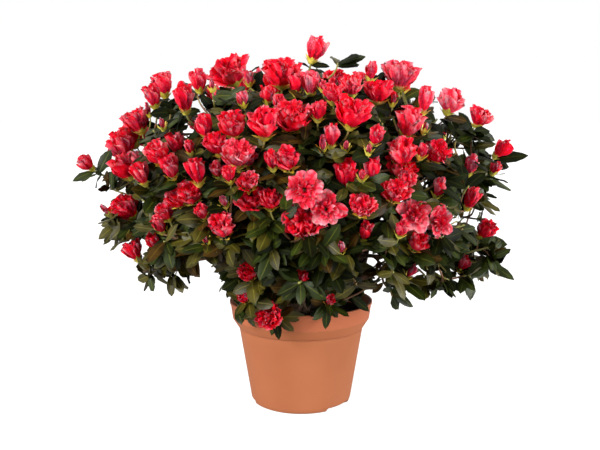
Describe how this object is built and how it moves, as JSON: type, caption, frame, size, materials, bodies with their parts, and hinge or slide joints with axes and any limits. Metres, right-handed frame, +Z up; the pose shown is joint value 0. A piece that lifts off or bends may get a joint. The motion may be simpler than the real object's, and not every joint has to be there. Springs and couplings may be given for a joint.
{
  "type": "potted azalea shrub",
  "caption": "Low domed azalea shrub in full red bloom, with short trunk, spreading boughs and leafy masses, in a tapered plant pot.",
  "frame": {"origin": "centre of the pot's flat underside, on the pot's axis", "axes": "+Z up along the pot's axis, -Y is the side that the picture shows"},
  "size_m": [0.5438, 0.4903, 0.4276],
  "materials": {
    "pot": "satin",
    "soil": "matte",
    "bark": "matte",
    "foliage": "matte"
  },
  "bodies": {
    "root": {"pot": "pot", "potting_soil": "soil", "trunk": "bark", "bough_skirt_1": "bark", "foliage_skirt_1": "foliage", "bough_skirt_2": "bark", "foliage_skirt_2": "foliage", "bough_skirt_3": "bark", "foliage_skirt_3": "foliage", "bough_skirt_4": "bark", "foliage_skirt_4": "foliage", "bough_skirt_5": "bark", "foliage_skirt_5": "foliage", "bough_skirt_6": "bark", "foliage_skirt_6": "foliage", "bough_middle_1": "bark", "foliage_middle_1": "foliage", "bough_middle_2": "bark", "foliage_middle_2": "foliage", "bough_middle_3": "bark", "foliage_middle_3": "foliage", "bough_middle_4": "bark", "foliage_middle_4": "foliage", "bough_middle_5": "bark", "foliage_middle_5": "foliage", "bough_middle_6": "bark", "foliage_middle_6": "foliage", "bough_upper_1": "bark", "foliage_upper_1": "foliage", "bough_upper_2": "bark", "foliage_upper_2": "foliage", "bough_upper_3": "bark", "foliage_upper_3": "foliage", "bough_upper_4": "bark", "foliage_upper_4": "foliage", "bough_upper_5": "bark", "foliage_upper_5": "foliage", "bough_top": "bark", "foliage_top": "foliage"}
  },
  "joints": []
}
